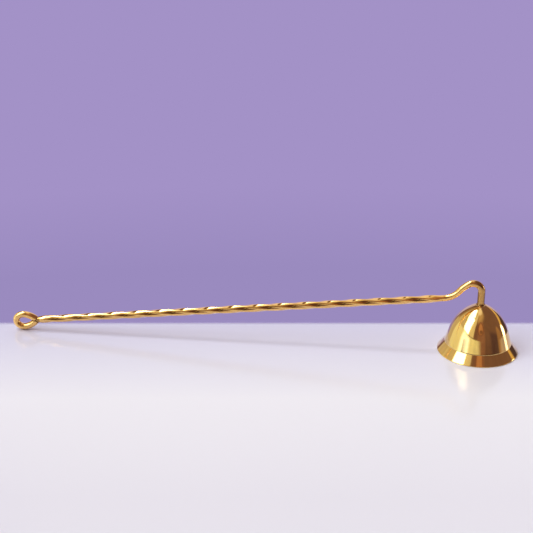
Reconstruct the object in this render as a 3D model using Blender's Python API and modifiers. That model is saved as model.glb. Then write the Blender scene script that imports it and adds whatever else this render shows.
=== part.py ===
"""Ear candle snuffer: a spun brass bell on a long twisted rod with a hanging eye.

The bell stands on its rim and the eye touches the table, as the tool lies at rest. +X runs from the
eye to the bell, +Z is up, and the origin is under the middle of the whole tool. Sizes are in metres.
"""

import math

import bmesh
import bpy
import numpy as np
from mathutils import Matrix

# Clearances between pieces
JOINT_GAP = 0.0003

# Bell: spun from sheet, so its wall is the same all over
MOUTH_RADIUS = 0.0200
BELL_HEIGHT = 0.0248
BELL_WALL = 0.0009
LIP_HEIGHT = 0.0047
LIP_FLARE = math.radians(37.5)
CREASE_RADIUS = 0.0012
BODY_LEAN = math.radians(18.0)
CROWN_ARC_RADIUS = 0.0220
SEAT_RADIUS = 0.0023
RIM_ROUNDING = 0.0002

# Rod: round at both ends, drawn thin at the neck
FOOT_DIAMETER = 0.0036
HOOK_DIAMETER = 0.0034
NECK_DIAMETER = 0.0031
SHANK_END_DIAMETER = 0.0031
FOOT_FLARE = 0.0003
FOOT_FLARE_HEIGHT = 0.0009

# Bends of the gooseneck, from the bell upwards
LEG_HEIGHT = 0.0066
HOOK_BEND_RADIUS = 0.0042
HOOK_BEND_ANGLE = math.radians(121.0)
CREST_BEND_RADIUS = 0.0165
CREST_BEND_ANGLE = math.radians(20.5)
RISE_BEND_RADIUS = 0.0110

# Shank: rolled to a square with round corners, then twisted right-handed
SHANK_LENGTH = 0.20815
SQUARE_ACROSS_FLATS = 0.0033
SQUARE_CORNER_RADIUS = 0.0010
TWIST_PITCH = 0.0493
TWIST_START_ANGLE = math.radians(33.5)
SQUARE_RUN_IN = 0.0060
SQUARE_RUN_OUT = 0.0040

# Tenon that is riveted over inside the crown, with its washer
TENON_RADIUS = 0.0010
WASHER_RADIUS = 0.0021
WASHER_THICKNESS = 0.0005
RIVET_HEAD_RADIUS = 0.0018
RIVET_HEAD_HEIGHT = 0.0008
# The hammered head is flat on top, out to this angle from its middle
RIVET_FLAT_ANGLE = math.radians(20.0)

# Hanging eye: a teardrop of round rod, measured along its middle line
EYE_ROD_DIAMETER = 0.0034
EYE_LENGTH = 0.0111
EYE_HEIGHT = 0.0068
# Fullness next to the neck, at the cost of the far end; 0 is a plain teardrop
EYE_FULLNESS = 0.12
EYE_NOTCH_DEPTH = 0.0008
EYE_NOTCH_HALF_ANGLE = math.radians(49.0)

# Fineness of the solids
BELL_SEGMENTS = 64
WASHER_SEGMENTS = 32
CROWN_ARC_STEPS = 10
SHANK_RING_SPACING = 0.0021
BEND_RING_SPACING = 0.0010
LEG_RING_SPACING = 0.0020
EYE_STEPS = 26
EYE_BEVEL_RESOLUTION = 5
# How far the eye's half runs on past its mirror plane, at the far end and, in rod radii, at the neck
EYE_PAST_NOSE = math.radians(12.0)
EYE_RUN_ON = 2.2
NOTCH_CUTTER_REACH = 4.0
FLARE_SHARES = (0.0, 0.35, 1.0)
RIVET_HEAD_STEPS = 3

# Edges sharper than this stay sharp; the bell's crease is a shallow one
SHARP_EDGE = math.radians(36.0)
SHALLOW_SHARP_EDGE = math.radians(16.0)

# Search for the slope at which the tool rests
STEEPEST_SLOPE = math.radians(40.0)
SLOPE_SEARCH_STEPS = 50
EYE_SAMPLES = 720


def start_scene():
    """Empties the scene and makes the two collections."""
    for old in list(bpy.data.objects):
        bpy.data.objects.remove(old, do_unlink=True)
    parts = bpy.data.collections.new("ear_candle_snuffer")
    cutters = bpy.data.collections.new("cutters")
    bpy.context.scene.collection.children.link(parts)
    bpy.context.scene.collection.children.link(cutters)
    return parts, cutters


def brass(name, color, roughness):
    """A polished brass surface in one colour."""
    material = bpy.data.materials.new(name)
    material.use_nodes = True
    surface = material.node_tree.nodes["Principled BSDF"]
    surface.inputs["Base Color"].default_value = (*color, 1.0)
    surface.inputs["Metallic"].default_value = 1.0
    surface.inputs["Roughness"].default_value = roughness
    return material


def add_object(name, mesh, collection, location=(0.0, 0.0, 0.0)):
    """Links a mesh as an object at its place."""
    piece = bpy.data.objects.new(name, mesh)
    piece.location = location
    collection.objects.link(piece)
    return piece


def finish(piece, material, edge_angle=SHARP_EDGE):
    """Gives a piece its material and smooth shading with its real edges kept."""
    piece.data.materials.clear()
    piece.data.materials.append(material)
    piece.data.shade_smooth()
    piece.data.set_sharp_from_angle(angle=edge_angle)


def turned(name, profile, segments, collection, location):
    """A solid turned from a closed profile of (radius, height) points, outer side running downwards."""
    mesh = bpy.data.meshes.new(name)
    points = [(radius, 0.0, height) for radius, height in profile]
    edges = [(i, (i + 1) % len(points)) for i in range(len(points))]
    mesh.from_pydata(points, edges, [])
    piece = add_object(name, mesh, collection, location)
    screw = piece.modifiers.new("turn", "SCREW")
    screw.axis = "Z"
    screw.angle = math.tau
    screw.steps = segments
    screw.render_steps = segments
    screw.use_merge_vertices = True
    screw.merge_threshold = 0.00001
    screw.use_smooth_shade = True
    turned_mesh = bpy.data.meshes.new_from_object(piece.evaluated_get(bpy.context.evaluated_depsgraph_get()))
    piece.modifiers.remove(screw)
    piece.data = turned_mesh
    turned_mesh.name = name
    bpy.data.meshes.remove(mesh)
    return piece


def prism(name, outline, half_width, collection):
    """A cutter: an outline in the XZ plane, made a block that reaches half_width to each side in Y."""
    shape = bmesh.new()
    corners = [shape.verts.new((x, -half_width, z)) for x, z in outline]
    front = shape.faces.new(corners)
    swept = bmesh.ops.extrude_face_region(shape, geom=[front])
    moved = [item for item in swept["geom"] if isinstance(item, bmesh.types.BMVert)]
    bmesh.ops.translate(shape, verts=moved, vec=(0.0, 2.0 * half_width, 0.0))
    bmesh.ops.recalc_face_normals(shape, faces=shape.faces)
    mesh = bpy.data.meshes.new(name)
    shape.to_mesh(mesh)
    shape.free()
    block = add_object(name, mesh, collection)
    block.display_type = "WIRE"
    block.hide_render = True
    return block


def cut(piece, cutter):
    """Takes the cutter's shape out of a piece."""
    boolean = piece.modifiers.new("cut", "BOOLEAN")
    boolean.operation = "DIFFERENCE"
    boolean.solver = "EXACT"
    boolean.object = cutter


# Bell


def lip_radius(height):
    """The radius of the straight flared lip at a height, if its edge were left sharp."""
    return MOUTH_RADIUS - (height - RIM_ROUNDING) * math.tan(LIP_FLARE)


def crease_point():
    """The sharp corner between body and lip, before it is rounded."""
    return lip_radius(LIP_HEIGHT), LIP_HEIGHT


def crown_arc(offset):
    """Centre of the crown's arc, and its angle at the flat seat, for the surface offset inside the outer one.

    The arc touches the straight body, so at its lower end its angle is the body's lean.
    """
    waist_radius, waist_height = crease_point()
    normal = np.array([math.cos(BODY_LEAN), math.sin(BODY_LEAN)])
    along = np.array([-math.sin(BODY_LEAN), math.cos(BODY_LEAN)])
    seat_corner = np.array([SEAT_RADIUS, BELL_HEIGHT])
    side = normal @ np.array([waist_radius, waist_height]) - CROWN_ARC_RADIUS
    reach = math.sqrt(max(CROWN_ARC_RADIUS ** 2 - (side - normal @ seat_corner) ** 2, 0.0))
    centre = normal * side + along * (along @ seat_corner - reach)
    end_height = BELL_HEIGHT - offset - centre[1]
    end_angle = math.asin(min(end_height / (CROWN_ARC_RADIUS - offset), 1.0))
    return centre, end_angle


def bell_side(offset, arc_steps):
    """The bell's side from seat to mouth, offset inside the outer surface, as (radius, height) points."""
    centre, end_angle = crown_arc(offset)
    arc_radius = CROWN_ARC_RADIUS - offset
    side = []
    for step in range(arc_steps + 1):
        angle = end_angle + (BODY_LEAN - end_angle) * step / arc_steps
        side.append((centre[0] + arc_radius * math.cos(angle), centre[1] + arc_radius * math.sin(angle)))
    side.extend(crease_arc(offset))
    return side


def crease_arc(offset, steps=3):
    """The rounding of the crease between body and lip, which is hollow seen from outside."""
    waist_radius, waist_height = crease_point()
    half_turn = 0.5 * (LIP_FLARE - BODY_LEAN)
    middle = 0.5 * (LIP_FLARE + BODY_LEAN)
    to_centre = CREASE_RADIUS / math.cos(half_turn)
    centre_radius = waist_radius + to_centre * math.cos(middle)
    centre_height = waist_height + to_centre * math.sin(middle)
    reach = CREASE_RADIUS + offset
    arc = []
    for step in range(steps + 1):
        angle = BODY_LEAN + (LIP_FLARE - BODY_LEAN) * step / steps
        arc.append((centre_radius - reach * math.cos(angle), centre_height - reach * math.sin(angle)))
    return arc


def make_bell(collection, axis_x):
    """The spun cup, with the hole in its crown and a flat rim to stand on."""
    hole_radius = TENON_RADIUS + JOINT_GAP
    outer = bell_side(0.0, CROWN_ARC_STEPS)
    inner = bell_side(BELL_WALL, CROWN_ARC_STEPS - 2)
    rim_inside = lip_radius(0.0) - BELL_WALL / math.cos(LIP_FLARE)
    rim = [(MOUTH_RADIUS, RIM_ROUNDING), (MOUTH_RADIUS - RIM_ROUNDING, 0.0), (rim_inside, 0.0)]
    profile = [(hole_radius, BELL_HEIGHT)] + outer + rim
    profile += list(reversed(inner)) + [(hole_radius, BELL_HEIGHT - BELL_WALL)]
    bell = turned("bell", profile, BELL_SEGMENTS, collection, (axis_x, 0.0, 0.0))
    finish(bell, brass("polished_spun_brass", (0.83, 0.57, 0.20), 0.12), SHALLOW_SHARP_EDGE)
    return bell


def make_washer(collection, axis_x):
    """The washer that the tenon is riveted over, just under the crown."""
    top = BELL_HEIGHT - BELL_WALL - JOINT_GAP
    hole_radius = TENON_RADIUS + JOINT_GAP
    profile = [
        (hole_radius, 0.0),
        (WASHER_RADIUS, 0.0),
        (WASHER_RADIUS, -WASHER_THICKNESS),
        (hole_radius, -WASHER_THICKNESS),
    ]
    washer = turned("burr_washer", profile, WASHER_SEGMENTS, collection, (axis_x, 0.0, top))
    finish(washer, brass("plain_brass", (0.72, 0.49, 0.19), 0.35))
    return washer


# Rod


def rod_route(slope):
    """The gooseneck's middle line, as (x, z, heading, distance) from the foot up to the shank.

    x is measured from the bell's axis and a heading is the angle above +X.
    """
    crest_heading = 0.5 * math.pi + HOOK_BEND_ANGLE + CREST_BEND_ANGLE
    bends = [
        (HOOK_BEND_RADIUS, HOOK_BEND_ANGLE),
        (CREST_BEND_RADIUS, CREST_BEND_ANGLE),
        (-RISE_BEND_RADIUS, crest_heading - math.pi - slope),
    ]
    x, z, heading, distance = 0.0, BELL_HEIGHT + JOINT_GAP + LEG_HEIGHT, 0.5 * math.pi, LEG_HEIGHT
    route = [(x, z, heading, distance)]
    for radius, turn in bends:
        centre_x = x - radius * math.sin(heading)
        centre_z = z + radius * math.cos(heading)
        steps = max(4, round(abs(radius) * turn / BEND_RING_SPACING))
        side = math.copysign(1.0, radius)
        start_heading, start_distance = heading, distance
        for step in range(1, steps + 1):
            heading = start_heading + side * turn * step / steps
            distance = start_distance + abs(radius) * turn * step / steps
            x = centre_x + radius * math.sin(heading)
            z = centre_z - radius * math.cos(heading)
            route.append((x, z, heading, distance))
    return route


def teardrop_rise(angle):
    """How far a teardrop of no set height stands off its middle, from the neck at 0 to the far end at pi."""
    return math.sin(angle) * math.sin(0.5 * angle) * (1.0 + EYE_FULLNESS * math.cos(angle))


# What a rise of one stands for, so that the teardrop is as high as the eye
TEARDROP_SCALE = 0.5 * EYE_HEIGHT / max(teardrop_rise(math.tau * i / EYE_SAMPLES) for i in range(EYE_SAMPLES))


def teardrop(angle):
    """A point of the eye's middle line: distance beyond the neck, and height over the shank's axis."""
    along = 0.5 * EYE_LENGTH * (1.0 - math.cos(angle))
    return along, TEARDROP_SCALE * teardrop_rise(angle)


def eye_place(slope):
    """Where the eye's neck lies, and the lowest and farthest reach of the eye, for a slope of the shank."""
    x, z, _, _ = rod_route(slope)[-1]
    neck_x = x - SHANK_LENGTH * math.cos(slope)
    neck_z = z - SHANK_LENGTH * math.sin(slope)
    loop = [teardrop(math.tau * i / EYE_SAMPLES) for i in range(EYE_SAMPLES)]
    lowest = min(neck_z - along * math.sin(slope) + height * math.cos(slope) for along, height in loop)
    farthest = min(neck_x - along * math.cos(slope) - height * math.sin(slope) for along, height in loop)
    return neck_x, neck_z, lowest - 0.5 * EYE_ROD_DIAMETER, farthest - 0.5 * EYE_ROD_DIAMETER


def resting_slope():
    """The slope of the shank at which the eye just touches the table that the bell stands on."""
    flat, steep = 0.0, STEEPEST_SLOPE
    for _ in range(SLOPE_SEARCH_STEPS):
        middle = 0.5 * (flat + steep)
        if eye_place(middle)[2] > 0.0:
            flat = middle
        else:
            steep = middle
    return 0.5 * (flat + steep)


def round_section():
    """Twenty points of a circle of radius one, one in the middle of each flat and four on each corner."""
    return [(math.cos(math.tau * i / 20), math.sin(math.tau * i / 20)) for i in range(20)]


def square_section():
    """Twenty points of the rolled square with round corners, in the same order as the circle's."""
    half = 0.5 * SQUARE_ACROSS_FLATS
    inset = half - SQUARE_CORNER_RADIUS
    quarter = [(half, 0.0)]
    for step in range(4):
        angle = step * math.radians(30.0)
        point = (inset + SQUARE_CORNER_RADIUS * math.cos(angle), inset + SQUARE_CORNER_RADIUS * math.sin(angle))
        quarter.append(point)
    section = []
    for turn in range(4):
        cosine, sine = round(math.cos(0.5 * math.pi * turn)), round(math.sin(0.5 * math.pi * turn))
        section.extend((a * cosine - b * sine, a * sine + b * cosine) for a, b in quarter)
    return section


def ease(value):
    """Runs from 0 to 1 without corners."""
    value = min(max(value, 0.0), 1.0)
    return value * value * (3.0 - 2.0 * value)


def add_ring(shape, x, z, heading, section, turn):
    """Adds one cross-section of the rod, turned about the rod's own line."""
    # Seen along the shank towards the bell, the first side is the back and the second is the top.
    top_x, top_z = math.sin(heading), -math.cos(heading)
    ring = []
    for back, top in section:
        turned_back = back * math.cos(turn) - top * math.sin(turn)
        turned_top = back * math.sin(turn) + top * math.cos(turn)
        ring.append(shape.verts.new((x + turned_top * top_x, turned_back, z + turned_top * top_z)))
    return ring


def rod_rings(slope):
    """Every cross-section from the rivet head to the eye, as (x, z, heading, radius, squareness, turn)."""
    upright = 0.5 * math.pi
    seat = BELL_HEIGHT + JOINT_GAP
    head_top = BELL_HEIGHT - BELL_WALL - WASHER_THICKNESS - 2.0 * JOINT_GAP
    foot_radius = 0.5 * FOOT_DIAMETER
    rings = []
    for step in range(RIVET_HEAD_STEPS + 1):
        angle = RIVET_FLAT_ANGLE + (upright - RIVET_FLAT_ANGLE) * step / RIVET_HEAD_STEPS
        height = head_top - RIVET_HEAD_HEIGHT * math.cos(angle)
        rings.append((0.0, height, upright, RIVET_HEAD_RADIUS * math.sin(angle), 0.0, 0.0))
    rings.append((0.0, head_top, upright, TENON_RADIUS, 0.0, 0.0))
    rings.append((0.0, seat, upright, TENON_RADIUS, 0.0, 0.0))
    for share in FLARE_SHARES:
        swell = FOOT_FLARE * (1.0 - share) ** 2
        rings.append((0.0, seat + share * FOOT_FLARE_HEIGHT, upright, foot_radius + swell, 0.0, 0.0))
    leg_start = FOOT_FLARE_HEIGHT
    leg_steps = max(2, round((LEG_HEIGHT - leg_start) / LEG_RING_SPACING))
    for step in range(1, leg_steps):
        height = seat + leg_start + (LEG_HEIGHT - leg_start) * step / leg_steps
        rings.append((0.0, height, upright, foot_radius, 0.0, 0.0))

    route = rod_route(slope)
    hook_end = LEG_HEIGHT + HOOK_BEND_RADIUS * HOOK_BEND_ANGLE
    stations = [LEG_HEIGHT, hook_end, route[-1][3]]
    radii = [foot_radius, 0.5 * HOOK_DIAMETER, 0.5 * NECK_DIAMETER]
    for x, z, heading, distance in route:
        rings.append((x, z, heading, float(np.interp(distance, stations, radii)), 0.0, 0.0))

    x, z, heading, _ = route[-1]
    end = SHANK_LENGTH + EYE_NOTCH_DEPTH
    steps = round(end / SHANK_RING_SPACING)
    for step in range(1, steps + 1):
        along = end * step / steps
        radius = 0.5 * (NECK_DIAMETER + (SHANK_END_DIAMETER - NECK_DIAMETER) * along / end)
        squareness = ease(along / SQUARE_RUN_IN) * ease((SHANK_LENGTH - along) / SQUARE_RUN_OUT)
        turn = -math.tau * along / TWIST_PITCH
        place = (x + along * math.cos(heading), z + along * math.sin(heading))
        rings.append((*place, heading, radius, squareness, turn))
    return rings


def make_handle(collection, cutters, axis_x, slope):
    """The rod in one piece: tenon, gooseneck and twisted shank, with its far end filed to a wedge."""
    circle, square = round_section(), square_section()
    # The square's corners lie at 45 degrees in its section, so the turn is set from there.
    first_turn = TWIST_START_ANGLE - math.radians(45.0)
    shape = bmesh.new()
    loops = []
    for x, z, heading, radius, squareness, turn in rod_rings(slope):
        section = [
            (radius * a * (1.0 - squareness) + c * squareness, radius * b * (1.0 - squareness) + d * squareness)
            for (a, b), (c, d) in zip(circle, square)
        ]
        loops.append(add_ring(shape, x, z, heading, section, first_turn + turn))
    count = len(circle)
    for ring, following in zip(loops, loops[1:]):
        for i in range(count):
            j = (i + 1) % count
            shape.faces.new((ring[i], ring[j], following[j], following[i]))
    shape.faces.new(list(reversed(loops[0])))
    shape.faces.new(loops[-1])
    bmesh.ops.recalc_face_normals(shape, faces=shape.faces)
    mesh = bpy.data.meshes.new("handle")
    shape.to_mesh(mesh)
    shape.free()
    handle = add_object("handle", mesh, collection, (axis_x, 0.0, 0.0))

    # The wedge stands back from the eye's notch by the joint gap, measured square to its flanks.
    tip = EYE_NOTCH_DEPTH - JOINT_GAP / math.sin(EYE_NOTCH_HALF_ANGLE)
    reach = max(SQUARE_ACROSS_FLATS, SHANK_END_DIAMETER)
    shoulder = tip - reach / math.tan(EYE_NOTCH_HALF_ANGLE)
    outline = [(-tip, 0.0), (-shoulder, reach), (-tip - reach, reach), (-tip - reach, -reach), (-shoulder, -reach)]
    cutter = prism("shank_end_cutter", outline, reach, cutters)
    neck_x, neck_z, _, _ = eye_place(slope)
    cutter.location = (axis_x + neck_x, 0.0, neck_z)
    cutter.rotation_euler = (0.0, -slope, 0.0)
    cut(handle, cutter)
    finish(handle, brass("polished_drawn_brass", (0.80, 0.52, 0.17), 0.14))
    return handle


# Hanging eye


def make_eye(collection, cutters, axis_x, slope):
    """The teardrop link: half of it as a bent tube, mirrored over the shank's axis and notched at the neck."""
    rod_radius = 0.5 * EYE_ROD_DIAMETER
    points = []
    for step in range(EYE_STEPS + 1):
        along, height = teardrop((math.pi + EYE_PAST_NOSE) * (1.0 - step / EYE_STEPS))
        points.append((-along, 0.0, height))
    # Both legs run straight on past the neck, so that the mirror plane cuts them clean.
    close_angle = math.atan2(2.0 * TEARDROP_SCALE * (1.0 + EYE_FULLNESS), EYE_LENGTH)
    run_on = EYE_RUN_ON * rod_radius
    points.append((run_on * math.cos(close_angle), 0.0, -run_on * math.sin(close_angle)))

    curve = bpy.data.curves.new("hanging_eye", "CURVE")
    curve.dimensions = "3D"
    curve.bevel_depth = rod_radius
    curve.bevel_resolution = EYE_BEVEL_RESOLUTION
    curve.use_fill_caps = True
    spline = curve.splines.new("POLY")
    spline.points.add(len(points) - 1)
    for knot, place in zip(spline.points, points):
        knot.co = (*place, 1.0)
    tube = add_object("hanging_eye_tube", curve, collection)
    mesh = bpy.data.meshes.new_from_object(tube.evaluated_get(bpy.context.evaluated_depsgraph_get()))
    bpy.data.objects.remove(tube, do_unlink=True)
    welded = bmesh.new()
    welded.from_mesh(mesh)
    bmesh.ops.remove_doubles(welded, verts=welded.verts, dist=0.000001)
    bmesh.ops.recalc_face_normals(welded, faces=welded.faces)
    welded.to_mesh(mesh)
    welded.free()

    neck_x, neck_z, _, _ = eye_place(slope)
    eye = add_object("hanging_eye", mesh, collection)
    eye.matrix_world = Matrix.Translation((axis_x + neck_x, 0.0, neck_z)) @ Matrix.Rotation(-slope, 4, "Y")
    mirror = eye.modifiers.new("other_half", "MIRROR")
    mirror.use_axis = (False, False, True)
    mirror.use_bisect_axis = (False, False, True)
    mirror.bisect_threshold = 0.000001
    mirror.merge_threshold = 0.00001
    mirror.use_clip = True

    # The notch opens towards the shank, and takes off the point where the two legs run together.
    reach = NOTCH_CUTTER_REACH * rod_radius
    opening = -EYE_NOTCH_DEPTH + reach
    half = reach * math.tan(EYE_NOTCH_HALF_ANGLE)
    notch = prism("eye_notch_cutter", [(-EYE_NOTCH_DEPTH, 0.0), (opening, half), (opening, -half)], reach, cutters)
    notch.matrix_world = eye.matrix_world
    cut(eye, notch)
    finish(eye, brass("polished_bent_brass", (0.81, 0.54, 0.18), 0.13))
    return eye


def build():
    """Makes the four pieces, with the tool's middle at the origin."""
    parts, cutters = start_scene()
    slope = resting_slope()
    farthest = eye_place(slope)[3]
    axis_x = -0.5 * (farthest + MOUTH_RADIUS)
    make_bell(parts, axis_x)
    make_washer(parts, axis_x)
    make_handle(parts, cutters, axis_x, slope)
    make_eye(parts, cutters, axis_x, slope)


build()
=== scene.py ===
import math

import bmesh
import bpy
from mathutils import Matrix, Vector


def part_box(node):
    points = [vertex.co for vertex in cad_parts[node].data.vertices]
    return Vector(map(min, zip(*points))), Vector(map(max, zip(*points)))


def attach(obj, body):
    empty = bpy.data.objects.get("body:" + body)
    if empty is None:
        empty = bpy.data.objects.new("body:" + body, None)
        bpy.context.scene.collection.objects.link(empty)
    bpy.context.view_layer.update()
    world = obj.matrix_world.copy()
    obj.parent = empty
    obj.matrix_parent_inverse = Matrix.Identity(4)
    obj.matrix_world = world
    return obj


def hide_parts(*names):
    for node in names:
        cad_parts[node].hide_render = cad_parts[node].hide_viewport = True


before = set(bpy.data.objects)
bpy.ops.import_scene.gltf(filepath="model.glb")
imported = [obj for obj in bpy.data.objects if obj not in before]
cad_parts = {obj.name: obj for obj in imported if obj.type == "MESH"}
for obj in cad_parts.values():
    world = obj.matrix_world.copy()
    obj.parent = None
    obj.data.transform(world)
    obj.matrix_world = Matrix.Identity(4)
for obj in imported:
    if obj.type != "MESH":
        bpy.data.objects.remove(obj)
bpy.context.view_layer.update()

# Bell. A cup spun over a former from 0.9 mm brass sheet: domed crown, leaning body, a crisp crease and a
# flared lip trimmed flat to stand on. It is buffed to a mirror outside while it turns, which leaves faint
# rings, and inside it keeps the duller face that came off the former.

MM = 0.001
WALL = 0.90 * MM
LIP_HEIGHT = 4.70 * MM
LIP_FLARE = math.radians(37.5)
CREASE_RADIUS = 0.90 * MM
CREASE_CUT = 0.12 * MM
CREASE_FILLET = 0.09 * MM
CREASE_EDGE = 0.02 * MM
BODY_LEAN = math.radians(18.0)
CROWN_RADIUS = 22.0 * MM
SEAT_RADIUS = 2.30 * MM
CROWN_HOLE_RADIUS = 1.30 * MM
RIM_ROUNDING = 0.30 * MM
CROWN_STEPS = 72
BODY_STEPS = 24
CREASE_STEPS = 10
GROOVE_STEPS = 8
EDGE_STEPS = 3
LIP_STEPS = 20
SEAT_STEPS = 4
ROUNDING_STEPS = 6
BELL_SEGMENTS = 288
# How far painted shade, dulled like dirt, spreads from the corner round the rod's foot, and from the crease
CORNER_SHADE_AND_DIRT = 0.45 * MM
CREASE_SHADE_AND_DIRT = 0.22 * MM

bell_low, bell_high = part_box("bell")
bell_axis = 0.5 * (bell_low.x + bell_high.x)
bell_height = bell_high.z
mouth_radius = 0.5 * (bell_high.x - bell_low.x)
waist = (mouth_radius - (LIP_HEIGHT - RIM_ROUNDING) * math.tan(LIP_FLARE), LIP_HEIGHT)


def arc(centre, radius, first, last, steps):
    """Points of an arc, as (distance from the axis, height)."""
    turns = [first + (last - first) * step / steps for step in range(steps + 1)]
    return [(centre[0] + radius * math.cos(turn), centre[1] + radius * math.sin(turn)) for turn in turns]


def line(start, end, steps):
    """The inner points of a straight stretch, so that arcs on both sides keep their ends."""
    shares = [step / steps for step in range(1, steps)]
    return [(start[0] + (end[0] - start[0]) * s, start[1] + (end[1] - start[1]) * s) for s in shares]


def bell_side(inset):
    """The bell's side from the seat to the crease's end, for a face that lies inset from the outer one."""
    out = (math.cos(BODY_LEAN), math.sin(BODY_LEAN))
    up = (-math.sin(BODY_LEAN), math.cos(BODY_LEAN))
    body = out[0] * waist[0] + out[1] * waist[1] - CROWN_RADIUS
    seat_out = out[0] * SEAT_RADIUS + out[1] * bell_height
    seat_up = up[0] * SEAT_RADIUS + up[1] * bell_height
    level = seat_up - math.sqrt(CROWN_RADIUS ** 2 - (body - seat_out) ** 2)
    centre = (out[0] * body + up[0] * level, out[1] * body + up[1] * level)
    radius = CROWN_RADIUS - inset
    top_turn = math.asin(min((bell_height - inset - centre[1]) / radius, 1.0))
    crown = arc(centre, radius, top_turn, BODY_LEAN, CROWN_STEPS)

    if not inset:
        # Outside, the former's edge leaves the crease as a fine undercut line that catches the light.
        lip = (math.cos(LIP_FLARE), math.sin(LIP_FLARE))
        start = (waist[0] - CREASE_CUT * lip[1], waist[1] + CREASE_CUT * lip[0])
        centre = (start[0] + CREASE_FILLET * lip[0], start[1] + CREASE_FILLET * lip[1])
        groove = arc(centre, CREASE_FILLET, math.pi, math.pi + LIP_FLARE, GROOVE_STEPS)
        foot = groove[0][0]
        edge = (foot, (out[0] * waist[0] + out[1] * waist[1] - out[0] * foot) / out[1])
        above = (edge[0] - CREASE_EDGE * math.sin(BODY_LEAN), edge[1] + CREASE_EDGE * math.cos(BODY_LEAN))
        below = (edge[0], edge[1] - CREASE_EDGE)
        side = crown + line(crown[-1], above, BODY_STEPS) + [above, below]
        return side + line(below, groove[0], EDGE_STEPS) + groove

    half_turn = 0.5 * (LIP_FLARE - BODY_LEAN)
    middle = 0.5 * (LIP_FLARE + BODY_LEAN)
    reach = CREASE_RADIUS / math.cos(half_turn)
    centre = (waist[0] + reach * math.cos(middle), waist[1] + reach * math.sin(middle))
    crease = arc(centre, CREASE_RADIUS + inset, math.pi + BODY_LEAN, math.pi + LIP_FLARE, CREASE_STEPS)
    return crown + line(crown[-1], crease[0], BODY_STEPS) + crease


def add_node(tree, kind, inputs=None, **settings):
    """Adds a node with its settings; each input is a plain value or the socket that feeds it."""
    node = tree.nodes.new(kind)
    for name, value in settings.items():
        setattr(node, name, value)
    for name, value in (inputs or {}).items():
        if isinstance(value, bpy.types.NodeSocket):
            tree.links.new(value, node.inputs[name])
        else:
            node.inputs[name].default_value = value
    return node


def linear(sheet):
    """A colour written as an sRGB hex value, as the linear colour that a shader takes."""
    parts = [int(sheet[i:i + 2], 16) / 255.0 for i in (1, 3, 5)]
    return tuple(p / 12.92 if p <= 0.04045 else ((p + 0.055) / 1.055) ** 2.4 for p in parts) + (1.0,)


# Handling leaves cloudy patches of this size, where the polish is a little blinder.
CLOUD_SIZE = 6.0 * MM
DIRT_ROUGHNESS = 0.42
LACQUER_ROUGHNESS = 0.03
LACQUER_IOR = 1.8


def brass(name, metal, stain_and_shade, polished, dull, mark_pitch, mark_depth, lacquer):
    """Brass under its working marks.

    The marks are fine lines read from the mesh's own "grain" attribute, which is squeezed along them, so
    that noise on it runs in rings round the bell and lengthwise on the rod. "dirt_and_shade" is how much
    dirt and painted shade a spot holds, darkening it towards a dark brown tone, and polished and dull are
    the least and the most roughness.
    """
    material = bpy.data.materials.new(name)
    material.use_nodes = True
    tree = material.node_tree
    tree.nodes.clear()
    grain = add_node(tree, "ShaderNodeAttribute", attribute_name="grain").outputs["Vector"]
    dirt_and_shade = add_node(tree, "ShaderNodeAttribute", attribute_name="dirt_and_shade").outputs["Fac"]
    place = add_node(tree, "ShaderNodeTexCoord").outputs["Object"]

    # Real marks are a few hundredths of a millimetre apart. These are drawn coarser, and the broad set, four
    # or five times as wide again, is as coarse as it needs to be to show.
    fine = add_node(tree, "ShaderNodeTexNoise", {"Vector": grain, "Scale": 1.0 / mark_pitch, "Detail": 3.0})
    broad = add_node(tree, "ShaderNodeTexNoise", {"Vector": grain, "Scale": 0.22 / mark_pitch, "Detail": 1.0})
    marks = add_node(tree, "ShaderNodeMix", {0: 0.45, 2: fine.outputs["Fac"], 3: broad.outputs["Fac"]})
    marks = marks.outputs[0]
    cloud = add_node(tree, "ShaderNodeTexNoise", {"Vector": place, "Scale": 1.0 / CLOUD_SIZE, "Detail": 2.0})
    cloud = cloud.outputs["Fac"]
    haze = add_node(tree, "ShaderNodeMix", {0: 0.5, 2: marks, 3: cloud}).outputs[0]
    roughness = add_node(tree, "ShaderNodeMapRange", {"Value": haze, 1: 0.35, 2: 0.65, 3: polished, 4: dull})
    roughness = roughness.outputs["Result"]
    # Brown stains and painted shade stay glossy; only where they build up deep does the surface go dull.
    dirt = add_node(tree, "ShaderNodeMapRange", {"Value": dirt_and_shade, 1: 0.95}).outputs["Result"]
    rough = add_node(tree, "ShaderNodeMix", {0: dirt, 2: roughness, 3: DIRT_ROUGHNESS}).outputs[0]

    # Random cloudy tone, dirt and painted shade all darken the metal towards its dark brown tone.
    toned = add_node(tree, "ShaderNodeMapRange", {"Value": cloud, 1: 0.35, 2: 0.75, 4: 0.12})
    darkening = add_node(tree, "ShaderNodeMath", {0: toned.outputs["Result"], 1: dirt_and_shade}, operation="MAXIMUM")
    colour = add_node(tree, "ShaderNodeMix", {0: darkening.outputs[0], 6: linear(metal), 7: linear(stain_and_shade)},
                      data_type="RGBA").outputs[2]
    bump = add_node(tree, "ShaderNodeBump", {"Height": marks, "Strength": 1.0, "Distance": mark_depth})
    # The lacquer is gone where stains and painted shade lie.
    kept = add_node(tree, "ShaderNodeMapRange", {"Value": dirt_and_shade, 3: lacquer, 4: 0.0}).outputs["Result"]
    surface = add_node(tree, "ShaderNodeBsdfPrincipled", {
        "Base Color": colour, "Metallic": 1.0, "Roughness": rough, "Normal": bump.outputs["Normal"],
        "Coat Weight": kept, "Coat Roughness": LACQUER_ROUGHNESS, "Coat IOR": LACQUER_IOR})
    add_node(tree, "ShaderNodeOutputMaterial", {"Surface": surface.outputs["BSDF"]})
    return material


# Turning marks run round the axis, so the grain is squeezed in that direction.
RING_SQUEEZE = 0.02


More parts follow.
